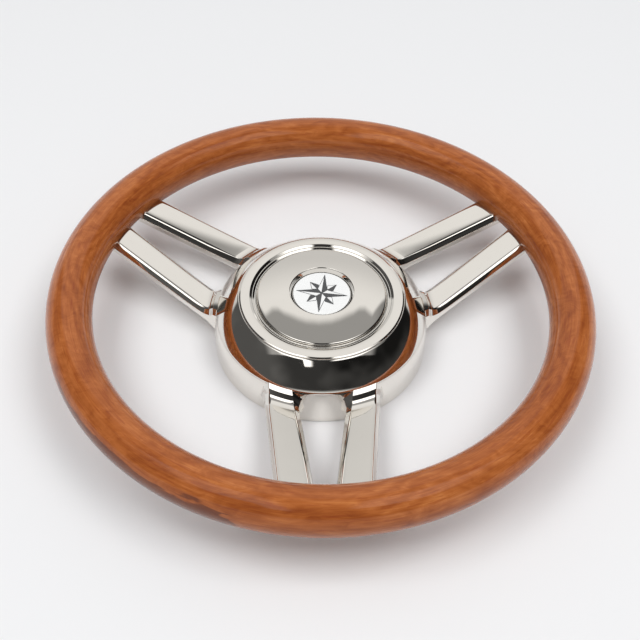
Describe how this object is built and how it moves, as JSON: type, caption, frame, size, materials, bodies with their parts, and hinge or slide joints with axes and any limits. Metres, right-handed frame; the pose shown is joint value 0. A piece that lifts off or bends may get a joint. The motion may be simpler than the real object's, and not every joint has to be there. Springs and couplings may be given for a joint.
{
  "type": "boat steering wheel",
  "caption": "Boat steering wheel: varnished wooden rim, pairs of polished stainless spokes rising to it from a mirror polished hub bowl with a raised ring and a push-in cap.",
  "frame": {"origin": "middle of the boss's lower face, where the wheel stands on its shaft", "axes": "+Z along the shaft towards the helmsman, -Y along the middle of one pair of spokes"},
  "size_m": [0.35, 0.35, 0.0565],
  "materials": {
    "rim_wood": "figured wood along the rim under thick gloss varnish",
    "polished_steel": "stainless steel, mirror polished",
    "inner_steel": "stainless steel, turned and left satin",
    "seal_rubber": "black, matte",
    "badge_white": "white gloss enamel",
    "badge_dark": "near black gloss enamel",
    "badge_light": "grey gloss enamel"
  },
  "bodies": {
    "root": {"rim_front_half": "rim_wood", "rim_back_half": "rim_wood", "rim_hoop": "inner_steel", "hub_boss": "inner_steel", "hub_plate": "inner_steel", "hub_pillars": "inner_steel", "boss_screws": "inner_steel", "spoke_screws": "inner_steel", "lip_screws": "inner_steel", "hub_bowl": "polished_steel", "cover_ring": "polished_steel", "centre_cap": "polished_steel", "cap_seal": "seal_rubber", "badge_disc": "badge_white", "badge_rose_dark": "badge_dark", "badge_rose_light": "badge_light", "spoke_front_a": "polished_steel", "spoke_front_b": "polished_steel", "spoke_right_a": "polished_steel", "spoke_right_b": "polished_steel", "spoke_left_a": "polished_steel", "spoke_left_b": "polished_steel"}
  },
  "joints": []
}
